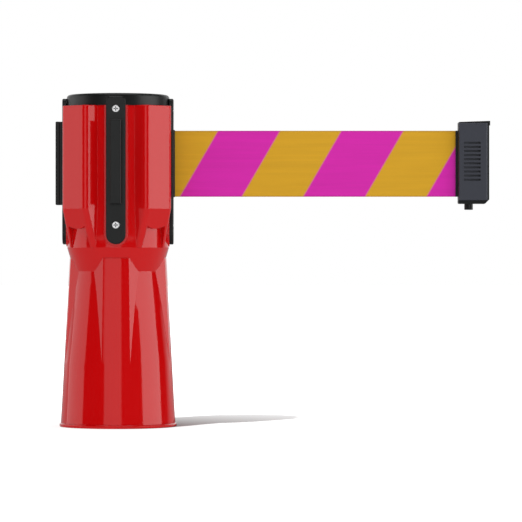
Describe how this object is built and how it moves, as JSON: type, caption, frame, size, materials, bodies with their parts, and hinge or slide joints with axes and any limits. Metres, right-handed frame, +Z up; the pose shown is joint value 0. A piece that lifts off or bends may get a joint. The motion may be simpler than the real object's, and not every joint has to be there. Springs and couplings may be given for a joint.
{
  "type": "retractable belt barrier head",
  "caption": "Hollow head that sits on a traffic cone's tip, with a reel that pays a striped webbing belt out to a clip, and rails on three sides that receive the clips of other heads.",
  "frame": {"origin": "centre of the bottom rim, on the head's vertical axis", "axes": "+Z up, +X towards the side the belt leaves by, -Y towards the front plate"},
  "size_m": [0.3289, 0.0946, 0.2508],
  "materials": {
    "red_plastic": "glossy moulded red ABS",
    "black_plastic": "fine satin black moulding",
    "grey_plastic": "satin dark grey moulding with grip grooves",
    "inner_plastic": "natural dark acetal",
    "webbing": "woven polyester, ochre with diagonal magenta stripes",
    "bright_steel": "zinc plated",
    "spring_steel": "oiled spring steel"
  },
  "bodies": {
    "head": {"housing": "red_plastic", "top_cap": "black_plastic", "rear_receiver": "black_plastic", "left_receiver": "black_plastic", "front_receiver": "black_plastic", "belt_mouth": "black_plastic", "receiver_screws": "bright_steel", "cassette_base": "inner_plastic", "cassette_cover": "inner_plastic", "cassette_screws": "bright_steel", "reel_shaft": "bright_steel", "shaft_clip": "bright_steel", "guide_pins": "bright_steel", "belt_feed": "webbing"},
    "reel": {"reel": "inner_plastic", "reel_upper_flange": "inner_plastic", "spring_cover": "inner_plastic", "clock_spring": "spring_steel", "belt_roll": "webbing", "belt_anchor_pin": "bright_steel"},
    "belt_end": {"belt_run": "webbing", "belt_end_core": "black_plastic", "belt_end_front_cover": "grey_plastic", "belt_end_rear_cover": "grey_plastic", "belt_end_screws": "bright_steel", "belt_clamp_pin": "bright_steel"},
    "plunger": {"release_plunger": "black_plastic", "plunger_spring": "spring_steel"}
  },
  "joints": [
    {"name": "belt_pull", "type": "slide", "parent": "head", "child": "belt_end", "axis": [1, 0, 0], "range_m": [-0.212, 2.7], "deforming": ["belt_run"]},
    {"name": "reel_spin", "type": "hinge", "parent": "head", "child": "reel", "pos_m": [0, 0, 0.19], "axis": [0, 0, 1], "range_deg": [-8550, 700], "deforming": ["clock_spring"]},
    {"name": "lock_plunger", "type": "slide", "parent": "belt_end", "child": "plunger", "axis": [0, 0, 1], "range_m": [0, 0.0035], "stiffness_N_per_m": 300, "springref_m": -0.004, "deforming": ["plunger_spring"]}
  ],
  "couplings": [
    {"joint": "reel_spin", "follows": "belt_pull", "rad_per_m": -55}
  ]
}
